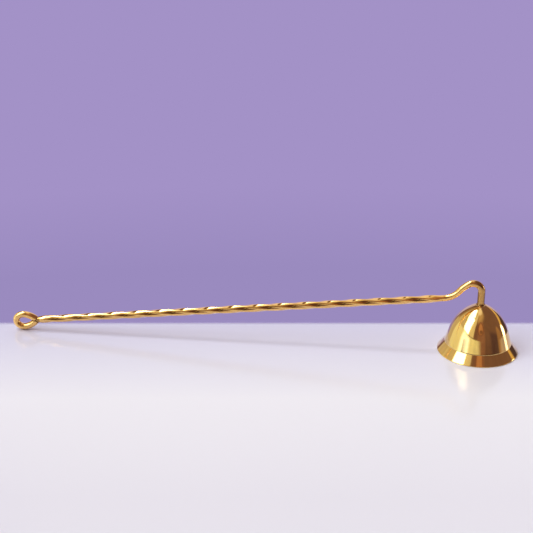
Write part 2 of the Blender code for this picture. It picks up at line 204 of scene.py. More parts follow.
def turned(name, outline, segments, axis):
    """A mesh turned from a closed outline of (radius, height), with its grain in rings round the axis."""
    shape = bmesh.new()
    grain = shape.verts.layers.float_vector.new("grain")
    rings = []
    run = 0.0
    for index, (radius, height) in enumerate(outline):
        run += math.dist(outline[index], outline[index - 1]) if index else 0.0
        ring = []
        for step in range(segments):
            turn = math.tau * step / segments
            side = (radius * math.cos(turn), radius * math.sin(turn))
            vert = shape.verts.new((axis + side[0], side[1], height))
            vert[grain] = (run, RING_SQUEEZE * side[0], RING_SQUEEZE * side[1])
            ring.append(vert)
        rings.append(ring)
    for index, ring in enumerate(rings):
        following = rings[(index + 1) % len(rings)]
        for step in range(segments):
            after = (step + 1) % segments
            shape.faces.new((ring[step], following[step], following[after], ring[after])).smooth = True
    bmesh.ops.recalc_face_normals(shape, faces=shape.faces)
    mesh = bpy.data.meshes.new(name)
    shape.to_mesh(mesh)
    shape.free()
    piece = bpy.data.objects.new(name, mesh)
    bpy.context.scene.collection.objects.link(piece)
    return piece


def lay_dirt_and_shade(piece, rule):
    """Lays dirt and painted shade on a piece: rule gives how much of them a point holds, from 0 to 1."""
    dirt_and_shade = piece.data.attributes.new("dirt_and_shade", "FLOAT", "POINT").data
    for vert in piece.data.vertices:
        dirt_and_shade[vert.index].value = rule(vert.co)


def bell_outline():
    """The bell's whole wall: seat, outer side, rim and inner side."""
    outer = bell_side(0.0)
    inner = bell_side(WALL)
    rim_centre = (mouth_radius - RIM_ROUNDING, RIM_ROUNDING)
    rim_outer = arc(rim_centre, RIM_ROUNDING, LIP_FLARE, -0.5 * math.pi, ROUNDING_STEPS)
    rim_inside = waist[0] + LIP_HEIGHT * math.tan(LIP_FLARE) - RIM_ROUNDING * math.tan(LIP_FLARE)
    rim_inside -= WALL / math.cos(LIP_FLARE)
    rim_inner = [(rim_inside + 0.5 * RIM_ROUNDING, 0.0), (rim_inside, 0.3 * RIM_ROUNDING)]
    hole = [(CROWN_HOLE_RADIUS, bell_height), (CROWN_HOLE_RADIUS, bell_height - WALL)]
    outline = [hole[0]] + line(hole[0], outer[0], SEAT_STEPS) + outer
    outline += line(outer[-1], rim_outer[0], LIP_STEPS) + rim_outer + rim_inner
    outline += line(rim_inner[-1], inner[-1], LIP_STEPS) + list(reversed(inner))
    return outline + line(inner[0], hole[1], SEAT_STEPS) + [hole[1]]


def bell_shade_and_dirt(point):
    """Painted shade, dulled as by polish and dust, in the corner round the rod's foot, and a trace of it in
    the crease.
    """
    radius = math.hypot(point.x - bell_axis, point.y)
    on_seat = point.z > bell_height - 0.5 * MM
    outside = radius > waist[0] - 0.3 * MM
    foot = math.exp(-((radius - 2.0 * MM) / CORNER_SHADE_AND_DIRT) ** 2) if on_seat else 0.0
    crease = math.exp(-((point.z - waist[1]) / CREASE_SHADE_AND_DIRT) ** 2) if outside else 0.0
    return min(0.75 * foot + 0.10 * crease, 1.0)


bell = turned("spun_bell", bell_outline(), BELL_SEGMENTS, bell_axis)
lay_dirt_and_shade(bell, bell_shade_and_dirt)
# Polished brass: bright yellow metal with a mirror face and just enough haze to soften what it reflects.
bell.data.materials.append(brass("spun_brass_buffed", metal="#F3C96E", stain_and_shade="#7E5224", polished=0.05,
                                 dull=0.12, mark_pitch=0.30 * MM, mark_depth=0.0022 * MM, lacquer=1.0))
# As spun: the same metal, satin, with plain rings from the tool.
bell.data.materials.append(brass("spun_brass_as_turned", metal="#D9AE5C", stain_and_shade="#7A5226", polished=0.24,
                                 dull=0.38, mark_pitch=0.50 * MM, mark_depth=0.0100 * MM, lacquer=0.0))
for face in bell.data.polygons:
    middle = face.center
    radius = math.hypot(middle.x - bell_axis, middle.y)
    outward = (face.normal.x * (middle.x - bell_axis) + face.normal.y * middle.y) / radius
    inside = outward < 0.0 or (face.normal.z < -0.5 and middle.z > 0.5 * bell_height)
    face.material_index = 1 if inside and middle.z > RIM_ROUNDING else 0
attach(bell, "root")
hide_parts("bell")


# Burr washer. A little punched ring of brass under the crown. The handle's tenon comes through it and is
# hammered over, which grips the thin sheet between washer and shoulder.

WASHER_CHAMFER = 0.08 * MM
WASHER_ROUNDING = 0.16 * MM
WASHER_FIT = 0.2 * MM
WASHER_SEGMENTS = 96
WASHER_SOIL = 0.25

washer_low, washer_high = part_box("burr_washer")
washer_radius = 0.5 * (washer_high.x - washer_low.x)
washer_bore = CROWN_HOLE_RADIUS - WASHER_FIT
crown_underside = bell_height - WALL
edge_centre = (washer_radius - WASHER_ROUNDING, washer_low.z + WASHER_ROUNDING)
washer_outline = [(washer_bore, crown_underside), (washer_radius - WASHER_CHAMFER, crown_underside)]
washer_outline += arc(edge_centre, WASHER_ROUNDING, 0.0, -0.5 * math.pi, ROUNDING_STEPS)
washer_outline += [(washer_bore, washer_low.z)]
washer = turned("burr_washer_ring", washer_outline, WASHER_SEGMENTS, bell_axis)
lay_dirt_and_shade(washer, lambda point: WASHER_SOIL)
# Plain brass: never polished, so it is browner and scatters the light.
washer.data.materials.append(brass("punched_brass_plain", metal="#C99B4E", stain_and_shade="#6E4A22", polished=0.32,
                                   dull=0.48, mark_pitch=0.30 * MM, mark_depth=0.0060 * MM, lacquer=0.0))
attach(washer, "root")
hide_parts("burr_washer")


# Handle. One brass rod: a riveted tenon and a shoulder in the bell's crown, a gooseneck bent cold, drawn a
# little thinner where it rises, and a long shank that is rolled square with round corners and twisted
# right-handed. Its far end is round again and filed to a wedge that is brazed into the eye.

FOOT_DIAMETER = 3.6 * MM
HOOK_DIAMETER = 3.4 * MM
NECK_DIAMETER = 3.1 * MM
SHANK_END_DIAMETER = 3.1 * MM
FOOT_FLARE = 0.3 * MM
FOOT_FLARE_HEIGHT = 0.9 * MM
FOOT_ROUNDING = 0.12 * MM
TENON_RADIUS = 1.0 * MM
RIVET_HEAD_RADIUS = 1.8 * MM
RIVET_HEAD_HEIGHT = 0.8 * MM
SEAT_GAP = 0.3 * MM
LEG_HEIGHT = 6.6 * MM
HOOK_BEND = (4.2 * MM, math.radians(121.0))
CREST_BEND = (16.5 * MM, math.radians(20.5))
RISE_BEND_RADIUS = 11.0 * MM
SHANK_LENGTH = 208.15 * MM
ACROSS_FLATS = 3.3 * MM
CORNER_RADIUS = 1.0 * MM
CORNER_REACH = math.sqrt(2.0) * (0.5 * ACROSS_FLATS - CORNER_RADIUS) + CORNER_RADIUS
# Rolling leaves the middle of each flat a little full.
BULGE = 0.045 * MM
TWIST_PITCH = 49.3 * MM
# How far the square's first flat is turned away from the top, towards the back
TWIST_START = math.radians(11.5)
RUN_IN = 6.0 * MM
RUN_OUT = 4.0 * MM
ROD_SIDES = 64
RIVET_STEPS = 12
FOOT_STEPS = 24
LEG_STEPS = 16
BEND_SPACING = 0.3 * MM
SHANK_STEPS = 490
# The stretch before the wedge has closer stations.
WEDGE_STRETCH = 5.0 * MM
WEDGE_STEPS = 50
# A square shoulder is a step between two rings that lie this far apart along the rod.
SHOULDER_STEP = 0.002 * MM
SHARP_EDGE = math.radians(38.0)
GRAIN_SQUEEZE = 0.04
SEAM = 0.26 * MM

EYE_ROD_DIAMETER = 3.4 * MM
EYE_LENGTH = 11.1 * MM
EYE_HEIGHT = 6.8 * MM
NOTCH_DEPTH = 0.8 * MM
NOTCH_HALF_ANGLE = math.radians(49.0)
# Fuller next to the neck than a plain teardrop, at the cost of the far end
EYE_FULLNESS = 0.12


def gooseneck(slope, spacing):
    """The rod's middle line from the foot's shoulder to the shank, as (x, z, heading, distance)."""
    turned_over = 0.5 * math.pi + HOOK_BEND[1] + CREST_BEND[1]
    bends = [HOOK_BEND, CREST_BEND, (-RISE_BEND_RADIUS, turned_over - math.pi - slope)]
    x, z, heading, distance = bell_axis, bell_height + SEAT_GAP + LEG_HEIGHT, 0.5 * math.pi, LEG_HEIGHT
    route = [(x, z, heading, distance)]
    for radius, turn in bends:
        centre = (x - radius * math.sin(heading), z + radius * math.cos(heading))
        steps = math.ceil(abs(radius) * turn / spacing)
        first_heading, first_distance = heading, distance
        for step in range(1, steps + 1):
            heading = first_heading + math.copysign(turn, radius) * step / steps
            distance = first_distance + abs(radius) * turn * step / steps
            x, z = centre[0] + radius * math.sin(heading), centre[1] - radius * math.cos(heading)
            route.append((x, z, heading, distance))
    return route


def teardrop_rise(turn):
    """How far a teardrop of no set height stands off its middle, from its neck at 0 to its far end at pi."""
    return math.sin(turn) * math.sin(0.5 * turn) * (1.0 + EYE_FULLNESS * math.cos(turn))


TEARDROP_SCALE = 0.5 * EYE_HEIGHT / max(teardrop_rise(math.tau * i / 720) for i in range(360))


def teardrop(turn):
    """A point of the eye's middle line: how far it lies beyond the neck, and above the shank's line."""
    return 0.5 * EYE_LENGTH * (1.0 - math.cos(turn)), TEARDROP_SCALE * teardrop_rise(turn)


def neck_place(slope):
    """Where the shank's line meets the eye."""
    x, z, _, _ = gooseneck(slope, 1.0 * MM)[-1]
    return x - SHANK_LENGTH * math.cos(slope), z - SHANK_LENGTH * math.sin(slope)


def eye_bottom(slope):
    """The lowest point of the eye, for a slope of the shank."""
    neck_z = neck_place(slope)[1]
    loop = [teardrop(math.tau * i / 360) for i in range(360)]
    return min(neck_z - x * math.sin(slope) + z * math.cos(slope) for x, z in loop) - 0.5 * EYE_ROD_DIAMETER


# The tool rests on the bell's rim and on the eye, which sets how steeply the shank falls.
flat, steep = 0.0, math.radians(40.0)
for _ in range(50):
    shank_slope = 0.5 * (flat + steep)
    if eye_bottom(shank_slope) > 0.0:
        flat = shank_slope
    else:
        steep = shank_slope
neck_x, neck_z = neck_place(shank_slope)


def rod_stations():
    """Stations from rivet head to wedge, as (x, z, radius), and how far along them the shank starts."""
    seat = bell_height
    head_top = washer_low.z
    stations = []
    for step in range(RIVET_STEPS + 1):
        turn = math.radians(4.0 + 86.0 * step / RIVET_STEPS)
        height = head_top - RIVET_HEAD_HEIGHT * math.cos(turn)
        stations.append((bell_axis, height, RIVET_HEAD_RADIUS * math.sin(turn)))
    stations.append((bell_axis, head_top + SHOULDER_STEP, TENON_RADIUS))
    stations.append((bell_axis, seat - SHOULDER_STEP, TENON_RADIUS))
    foot = 0.5 * FOOT_DIAMETER
    for step in range(FOOT_STEPS + 1):
        share = step / FOOT_STEPS
        swell = FOOT_FLARE * (1.0 - share) ** 2 - FOOT_ROUNDING * max(1.0 - 6.0 * share, 0.0) ** 2
        stations.append((bell_axis, seat + share * (FOOT_FLARE_HEIGHT + SEAT_GAP), foot + swell))
    route = gooseneck(shank_slope, BEND_SPACING)
    leg = route[0][1] - stations[-1][1]
    for step in range(1, LEG_STEPS):
        stations.append((bell_axis, stations[-1][1] + leg / LEG_STEPS, foot))

    hook_end = LEG_HEIGHT + HOOK_BEND[0] * HOOK_BEND[1]
    route_end = route[-1][3]
    for x, z, _, distance in route:
        hook_share = min((distance - LEG_HEIGHT) / (hook_end - LEG_HEIGHT), 1.0)
        neck_share = max((distance - hook_end) / (route_end - hook_end), 0.0)
        radius = foot + hook_share * (0.5 * HOOK_DIAMETER - foot)
        radius += neck_share * 0.5 * (NECK_DIAMETER - HOOK_DIAMETER)
        stations.append((x, z, radius))
    shank_from = sum(math.dist(a[:2], b[:2]) for a, b in zip(stations, stations[1:]))

    x, z, heading, _ = route[-1]
    end = SHANK_LENGTH + NOTCH_DEPTH
    coarse = end - WEDGE_STRETCH
    runs = [coarse * step / SHANK_STEPS for step in range(1, SHANK_STEPS + 1)]
    runs += [coarse + WEDGE_STRETCH * step / WEDGE_STEPS for step in range(1, WEDGE_STEPS + 1)]
    for run in runs:
        radius = 0.5 * (NECK_DIAMETER + (SHANK_END_DIAMETER - NECK_DIAMETER) * run / end)
        stations.append((x + run * math.cos(heading), z + run * math.sin(heading), radius))
    return stations, shank_from


def swept_rod_nodes():
    """A rod swept along a route: round by the route's radius, and square and twisted for a stretch."""
    tree = bpy.data.node_groups.new("swept_rod", "GeometryNodeTree")
    sizes = ("Across Flats", "Corner Radius", "Bulge", "Twist Pitch", "Twist Start",
             "Square From", "Square To", "Run In", "Run Out")
    tree.interface.new_socket("Geometry", in_out="INPUT", socket_type="NodeSocketGeometry")
    for name in sizes:
        tree.interface.new_socket(name, in_out="INPUT", socket_type="NodeSocketFloat")
    tree.interface.new_socket("Sides", in_out="INPUT", socket_type="NodeSocketInt")
    tree.interface.new_socket("Metal", in_out="INPUT", socket_type="NodeSocketMaterial")
    tree.interface.new_socket("Geometry", in_out="OUTPUT", socket_type="NodeSocketGeometry")
    given = add_node(tree, "NodeGroupInput").outputs

    # What a ring has to know after the sweep: its middle, its distance along the rod and its radius
    ring = add_node(tree, "GeometryNodeCaptureAttribute", {"Geometry": given["Geometry"]}, domain="POINT")
    ring.capture_items.new("VECTOR", "middle")
    ring.capture_items.new("FLOAT", "distance")
    ring.capture_items.new("FLOAT", "radius")
    tree.links.new(add_node(tree, "GeometryNodeInputPosition").outputs[0], ring.inputs[1])
    tree.links.new(add_node(tree, "GeometryNodeSplineParameter").outputs["Length"], ring.inputs[2])
    tree.links.new(add_node(tree, "GeometryNodeInputRadius").outputs[0], ring.inputs[3])
    route, middle, distance, radius = (ring.outputs[i] for i in range(4))
    circle = add_node(tree, "GeometryNodeCurvePrimitiveCircle", {"Resolution": given["Sides"], "Radius": 1.0})
    section = add_node(tree, "GeometryNodeCaptureAttribute", {"Geometry": circle.outputs["Curve"]},
                       domain="POINT")
    section.capture_items.new("FLOAT", "around")
    tree.links.new(add_node(tree, "GeometryNodeSplineParameter").outputs["Factor"], section.inputs[1])

    # Sums, each as its name, its operation and what it works on
    sums = (
        # How far the square is turned here
        ("past", "SUBTRACT", "distance", "Square From"),
        ("left", "SUBTRACT", "Square To", "distance"),
        ("twisted", "MAXIMUM", "past", 0.0),
        ("turns", "DIVIDE", "twisted", "Twist Pitch"),
        ("tilt", "MULTIPLY_ADD", "turns", math.tau, "Twist Start"),
        # The square is folded to half a side, from a flat's middle to a corner. "along" is how far along it
        # an angle lies, and it is 1 where the flat ends and the corner's round starts.
        ("angle", "MULTIPLY", "around", math.tau),
        ("cosine", "COSINE", "angle"),
        ("sine", "SINE", "angle"),
        ("cosine size", "ABSOLUTE", "cosine"),
        ("sine size", "ABSOLUTE", "sine"),
        ("larger", "MAXIMUM", "cosine size", "sine size"),
        ("smaller", "MINIMUM", "cosine size", "sine size"),
        ("half", "MULTIPLY", "Across Flats", 0.5),
        ("inset", "SUBTRACT", "half", "Corner Radius"),
        ("slant", "DIVIDE", "smaller", "larger"),
        ("aside", "MULTIPLY", "slant", "half"),
        ("along", "DIVIDE", "aside", "inset"),
        # How far the metal reaches on the flat, which is a little full
        ("along squared", "MULTIPLY", "along", "along"),
        ("rise", "SUBTRACT", 1.0, "along squared"),
        ("raised", "MULTIPLY_ADD", "Bulge", "rise", "half"),
        ("flat reach", "DIVIDE", "raised", "larger"),
        # How far it reaches on the corner's round
        ("unlike", "SUBTRACT", "larger", "smaller"),
        ("offset", "MULTIPLY", "inset", "unlike"),
        ("offset squared", "MULTIPLY", "offset", "offset"),
        ("corner squared", "MULTIPLY", "Corner Radius", "Corner Radius"),
        ("chord squared", "SUBTRACT", "corner squared", "offset squared"),
        ("chord", "SQRT", "chord squared"),
        ("both", "ADD", "larger", "smaller"),
        ("to centre", "MULTIPLY", "inset", "both"),
        ("round reach", "ADD", "to centre", "chord"),
        ("past flat", "GREATER_THAN", "along", 1.0),
        # Drawing and buffing marks run along the rod, so the grain is squeezed in that direction.
        ("grain across", "MULTIPLY", "cosine", "half"),
        ("grain up", "MULTIPLY", "sine", "half"),
        ("grain along", "MULTIPLY", "distance", GRAIN_SQUEEZE),
    )
    known = {name: given[name] for name in sizes}
    known.update({"distance": distance, "around": section.outputs[1]})
    for name, operation, *values in sums:
        inputs = {index: known.get(value, value) for index, value in enumerate(values)}
        known[name] = add_node(tree, "ShaderNodeMath", inputs, operation=operation).outputs[0]

    tilted = add_node(tree, "GeometryNodeSetCurveTilt", {"Curve": route, "Tilt": known["tilt"]}).outputs[0]
    swept = add_node(tree, "GeometryNodeCurveToMesh", {
        "Curve": tilted, "Profile Curve": section.outputs["Geometry"], "Scale": radius,
        "Fill Caps": True}).outputs[0]

    # The round rings are stretched to the square, easing in and out at its ends.
    reach = add_node(tree, "ShaderNodeMix", {
        0: known["past flat"], 2: known["flat reach"], 3: known["round reach"]}).outputs[0]
    grown = add_node(tree, "ShaderNodeMath", {0: reach, 1: radius}, operation="DIVIDE").outputs[0]
    eased = 1.0
    for length, run in (("past", "Run In"), ("left", "Run Out")):
        ease = add_node(tree, "ShaderNodeMapRange", {"Value": known[length], 2: given[run]},
                        interpolation_type="SMOOTHSTEP").outputs["Result"]
        eased = add_node(tree, "ShaderNodeMath", {0: eased, 1: ease}, operation="MULTIPLY").outputs[0]
    factor = add_node(tree, "ShaderNodeMix", {0: eased, 2: 1.0, 3: grown}).outputs[0]
    position = add_node(tree, "GeometryNodeInputPosition").outputs[0]
    spoke = add_node(tree, "ShaderNodeVectorMath", {0: position, 1: middle}, operation="SUBTRACT").outputs[0]
    spoke = add_node(tree, "ShaderNodeVectorMath", {0: spoke, "Scale": factor}, operation="SCALE").outputs[0]
    moved = add_node(tree, "ShaderNodeVectorMath", {0: middle, 1: spoke}, operation="ADD").outputs[0]
    shaped = add_node(tree, "GeometryNodeSetPosition", {"Geometry": swept, "Position": moved}).outputs[0]

    grain = add_node(tree, "ShaderNodeCombineXYZ", {
        0: known["grain across"], 1: known["grain up"], 2: known["grain along"]}).outputs[0]
    marked = add_node(tree, "GeometryNodeStoreNamedAttribute", {
        "Geometry": shaped, "Name": "grain", "Value": grain}, data_type="FLOAT_VECTOR", domain="POINT")
    smooth = add_node(tree, "GeometryNodeSetShadeSmooth", {
        "Geometry": marked.outputs[0], "Shade Smooth": True}).outputs[0]
    real = add_node(tree, "GeometryNodeRealizeInstances", {"Geometry": smooth}).outputs[0]
    done = add_node(tree, "GeometryNodeSetMaterial", {"Geometry": real, "Material": given["Metal"]})
    add_node(tree, "NodeGroupOutput", {"Geometry": done.outputs[0]})
    return tree


swept_rod = swept_rod_nodes()


def sweep(name, stations, sizes):
    """A closed mesh swept by the tree along stations of (x, z, radius) in the tool's middle plane."""
    path = bpy.data.curves.new(name + "_route", "CURVE")
    path.dimensions = "3D"
    spline = path.splines.new("POLY")
    spline.points.add(len(stations) - 1)
    for knot, (x, z, radius) in zip(spline.points, stations):
        knot.co = (x, 0.0, z, 1.0)
        knot.radius = radius
    route = bpy.data.objects.new(name + "_route", path)
    bpy.context.scene.collection.objects.link(route)
    nodes = route.modifiers.new("swept_rod", "NODES")
    nodes.node_group = swept_rod
    for item in swept_rod.interface.items_tree:
        if item.in_out == "INPUT" and item.name in sizes:
            nodes[item.identifier] = sizes[item.name]
    evaluated = route.evaluated_get(bpy.context.evaluated_depsgraph_get())
    mesh = bpy.data.meshes.new_from_object(evaluated)
    bpy.data.objects.remove(route, do_unlink=True)
    mesh.name = name
    piece = bpy.data.objects.new(name, mesh)
    bpy.context.scene.collection.objects.link(piece)
    return piece


def cut_away(piece, *planes):
    """Cuts a closed piece by planes of (point, normal), drops what each normal points at and closes it."""
    shape = bmesh.new()
    shape.from_mesh(piece.data)
    bmesh.ops.recalc_face_normals(shape, faces=shape.faces)
    for point, normal in planes:
        everything = shape.verts[:] + shape.edges[:] + shape.faces[:]
        bmesh.ops.bisect_plane(shape, geom=everything, dist=1e-8, plane_co=point, plane_no=normal,
                               clear_outer=True)
        bmesh.ops.holes_fill(shape, edges=[edge for edge in shape.edges if edge.is_boundary])
    shape.to_mesh(piece.data)
    shape.free()


# Drawn brass, buffed along the rod: a cleaner and warmer mirror than the bell's, with hair-fine lines.
# Its dark brown tone also gives the painted reflection on the shank's side flats and painted shade at joints.
ROD_FINISH = {"metal": "#FCC864", "stain_and_shade": "#5A1E08", "polished": 0.035, "dull": 0.08,
              "mark_pitch": 0.13 * MM, "mark_depth": 0.0009 * MM, "lacquer": 1.0}
drawn_brass = brass("drawn_brass_buffed", **ROD_FINISH)
stations, shank_start = rod_stations()
handle = sweep("twisted_rod", stations, {
    "Across Flats": ACROSS_FLATS, "Corner Radius": CORNER_RADIUS, "Bulge": BULGE,
    "Twist Pitch": TWIST_PITCH, "Twist Start": TWIST_START,
    "Square From": shank_start, "Square To": shank_start + SHANK_LENGTH,
    "Run In": RUN_IN, "Run Out": RUN_OUT, "Sides": ROD_SIDES, "Metal": drawn_brass})

# The wedge's two flanks, at the neck of the eye
neck = Matrix.Translation((neck_x, 0.0, neck_z)) @ Matrix.Rotation(-shank_slope, 4, "Y")
to_neck = neck.inverted()
wedge_tip = Vector((-NOTCH_DEPTH + SEAM / math.sin(NOTCH_HALF_ANGLE), 0.0, 0.0))
flank = Vector((-math.sin(NOTCH_HALF_ANGLE), 0.0, math.cos(NOTCH_HALF_ANGLE)))
other_flank = Vector((flank.x, 0.0, -flank.z))
cut_away(handle, *[(neck @ wedge_tip, neck.to_3x3() @ normal) for normal in (flank, other_flank)])
handle.data.set_sharp_from_angle(angle=SHARP_EDGE)


def ramp(value, first, last):
    """0 up to the first value, 1 from the last one on."""
    return min(max((value - first) / (last - first), 0.0), 1.0)


NEAR_BELL = 3.0 * MM
# Painted shade, dulled like dirt, round the rod's foot and at the neck's joint: how wide, and where the
# neck's starts
FOOT_SHADE_AND_DIRT = 0.28 * MM
NECK_SHADE_AND_DIRT = 0.5 * MM
NECK_SHADE_AND_DIRT_FROM = 1.2 * MM
# The hook's brown fades out between these distances from the bell's axis.
BROWN_FROM = 7.0 * MM
BROWN_FULL = 2.0 * MM
# A flat's painted dark reflection ends this far inside the reach of the corners.
FLAT_END = 0.11 * MM
FLAT_FULL = 0.15 * MM


def handle_shade_and_dirt(point):
    """Painted shade, dulled like dirt, at the foot, at the neck's joint and under the crown.

    The flats at the shank's sides are painted dark brown, most where they face level: a painted reflection
    of the dark room in front. Its corners, top and underside stay bright. The leg and the hook are darker
    brown too, and the leg carries painted shade at its left and right.
    """
    near_bell = abs(point.x - bell_axis) < NEAR_BELL
    foot = math.exp(-((point.z - bell_height) / FOOT_SHADE_AND_DIRT) ** 2) if near_bell else 0.0
    brown_and_shade = 0.50 * ramp(point.x, bell_axis - BROWN_FROM, bell_axis - BROWN_FULL)
    # Painted shade on the leg's left and right sides
    if near_bell and bell_height < point.z < bell_height + LEG_HEIGHT:
        brown_and_shade += 0.40 * (2.0 * (point.x - bell_axis) / FOOT_DIAMETER) ** 2
    local = to_neck @ point
    # The side flats carry a painted dark reflection of the room in front, strongest where a flat faces level.
    if RUN_OUT < local.x < SHANK_LENGTH - RUN_IN:
        reach = math.hypot(local.y, local.z)
        on_flat = ramp(reach, CORNER_REACH - FLAT_END, CORNER_REACH - FLAT_FULL)
        lean = math.degrees(math.atan2(local.z, abs(local.y)))
        stain_and_shade = 0.95 - 0.35 * ramp(lean, 8.0, 16.0)
        brown_and_shade = on_flat * stain_and_shade * ramp(lean, -10.0, -5.0) * ramp(lean, 58.0, 46.0)
    seam = math.exp(-(max(point.x - neck_x - NECK_SHADE_AND_DIRT_FROM, 0.0) / NECK_SHADE_AND_DIRT) ** 2)
    # Painted shade under the crown
    inside = 0.4 if point.z < bell_height and near_bell else 0.0
    return min(max(foot, 0.6 * seam, inside, brown_and_shade), 1.0)


lay_dirt_and_shade(handle, handle_shade_and_dirt)
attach(handle, "root")
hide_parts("handle")


# Hanging eye. A teardrop link bent from the same round rod. Its two ends close on each other and, filed to
# a notch, on the shank's wedge, where they are brazed: the joint shows as a dark Y, a dark braze with
# painted shade round it.

EYE_STEPS = 110
EYE_PAST_NOSE = math.radians(12.0)
CLOSING_STEPS = 8
CREVICE_WIDTH = 0.42 * MM

eye_stations = []
for step in range(EYE_STEPS + 1):
    along, height = teardrop((math.pi + EYE_PAST_NOSE) * (1.0 - step / EYE_STEPS))
    eye_stations.append((-along, height, 0.5 * EYE_ROD_DIAMETER))
closing = math.atan2(2.0 * TEARDROP_SCALE * (1.0 + EYE_FULLNESS), EYE_LENGTH)
for step in range(1, CLOSING_STEPS + 1):
    run = EYE_ROD_DIAMETER * step / CLOSING_STEPS
    eye_stations.append((run * math.cos(closing), -run * math.sin(closing), 0.5 * EYE_ROD_DIAMETER))

# The square starts a metre along, which no rod here reaches, so the sweep stays round.
round_sizes = {"Across Flats": EYE_ROD_DIAMETER, "Corner Radius": 0.25 * EYE_ROD_DIAMETER, "Bulge": 0.0,
               "Twist Pitch": 1.0, "Twist Start": 0.0, "Square From": 1.0, "Square To": 2.0,
               "Run In": 1.0, "Run Out": 1.0, "Sides": ROD_SIDES}


def mirrored(piece):
    """Joins a half, cut closed on the middle line, with its mirror image, and sets it at the neck."""
    shape = bmesh.new()
    shape.from_mesh(piece.data)
    inner = [face for face in shape.faces if all(abs(vert.co.z) < 1e-7 for vert in face.verts)]
    bmesh.ops.delete(shape, geom=inner, context="FACES_ONLY")
    copied = bmesh.ops.duplicate(shape, geom=shape.verts[:] + shape.edges[:] + shape.faces[:])["geom"]
    for item in copied:
        if isinstance(item, bmesh.types.BMVert):
            item.co.z = -item.co.z
    copied_faces = [item for item in copied if isinstance(item, bmesh.types.BMFace)]
    bmesh.ops.reverse_faces(shape, faces=copied_faces)
    bmesh.ops.remove_doubles(shape, verts=shape.verts, dist=2e-7)
    shape.to_mesh(piece.data)
    shape.free()
    piece.data.transform(neck)
    piece.data.set_sharp_from_angle(angle=SHARP_EDGE)


# Bent from the same drawn brass and buffed the same way, so it shines like the shank.
bent_brass = brass("bent_brass_buffed", **ROD_FINISH)
eye = sweep("teardrop_eye", eye_stations, dict(round_sizes, Metal=bent_brass))
notch_apex = Vector((-NOTCH_DEPTH, 0.0, 0.0))
cut_away(eye, (Vector(), Vector((0.0, 0.0, -1.0))), (notch_apex, -flank))
mirrored(eye)


def eye_shade_and_dirt(point):
    """The crevice where the legs close and the joint with the shank are dark: painted shade, with a dark
    brazed joint.
    """
    local = to_neck @ point
    return math.exp(-(local.z / CREVICE_WIDTH) ** 2) if local.x > -0.5 * EYE_LENGTH else 0.0


lay_dirt_and_shade(eye, eye_shade_and_dirt)
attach(eye, "root")
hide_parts("hanging_eye")


# Braze. The filler that holds the shank's wedge in the eye's notch. What shows of it is a thread that stands
# a little below both surfaces, gone dark and dull.

BRAZE_DEPTH = 0.22 * MM
BRAZE_REACH = 2.0 * MM
BRAZE_SOIL = 0.6

braze_radius = 0.5 * SHANK_END_DIAMETER - BRAZE_DEPTH
braze_metal = brass("braze_tarnished", metal="#3A2412", stain_and_shade="#1C1008", polished=0.45, dull=0.60,
                    mark_pitch=0.30 * MM, mark_depth=0.02 * MM, lacquer=0.0)
braze_stations = [(x, 0.0, braze_radius) for x in (-BRAZE_REACH, 0.0, BRAZE_REACH)]
braze = sweep("braze_seam", braze_stations, dict(round_sizes, Metal=braze_metal))
cut_away(braze, (Vector(), Vector((0.0, 0.0, -1.0))), (notch_apex, flank), (wedge_tip, -flank))
mirrored(braze)
lay_dirt_and_shade(braze, lambda point: BRAZE_SOIL)
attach(braze, "root")


# Studio: a pale table that ends just behind the tool, lilac behind it, and a room that is dim and warm but
# for a tall window at the left. Its white light and the pale wall under it are what the brass shows.

CAMERA_TURN = math.radians(5.70)
# How far behind the tool's middle the table's far edge lies, and how soft it is
LINE_BEHIND = 19.0 * MM
LINE_SOFTNESS = 2.2 * MM
FLOOR_REACH = 6.0
# The table is palest at some distance in front of the tool. It is darker towards the front, and towards
# its far edge it is tinted lilac, a painted reflection of the lilac behind.
PALEST_AT = -60.0 * MM
PALEST = "#F2F2F3"
FRONT_AT = -140.0 * MM
FRONT = "#E8E7EC"
BACK = "#D8D7E8"
TABLE_ROUGHNESS = 0.16
TABLE_SHINE = 0.7

floor_mesh = bpy.data.meshes.new("studio_floor")
corners = [(FLOOR_REACH * side, FLOOR_REACH * depth, 0.0)
           for side, depth in ((-1, -1), (1, -1), (1, 1), (-1, 1))]
floor_mesh.from_pydata(corners, [], [(0, 1, 2, 3)])
floor = bpy.data.objects.new("studio_floor", floor_mesh)
bpy.context.scene.collection.objects.link(floor)
# Satin paint: pale, and smooth enough to mirror softly what stands on it
paint = bpy.data.materials.new("satin_tabletop")
paint.use_nodes = True
tree = paint.node_tree
tree.nodes.clear()
place = add_node(tree, "ShaderNodeTexCoord").outputs["Object"]
# The table's far edge lies square to the camera's view.
view_line = (-math.sin(CAMERA_TURN), math.cos(CAMERA_TURN), 0.0)
behind = add_node(tree, "ShaderNodeVectorMath", {0: place, 1: view_line}, operation="DOT_PRODUCT")
behind = behind.outputs["Value"]
table_tone = linear(PALEST)
# Darker towards the front; towards the far edge a painted lilac reflection
for end_tone, end in ((FRONT, FRONT_AT), (BACK, LINE_BEHIND)):
    share = add_node(tree, "ShaderNodeMapRange", {"Value": behind, 1: PALEST_AT, 2: end}).outputs["Result"]
    table_tone = add_node(tree, "ShaderNodeMix", {0: share, 6: table_tone, 7: linear(end_tone)},
                          data_type="RGBA").outputs[2]
surface = add_node(tree, "ShaderNodeBsdfPrincipled", {
    "Base Color": table_tone, "Roughness": TABLE_ROUGHNESS, "Specular IOR Level": TABLE_SHINE})
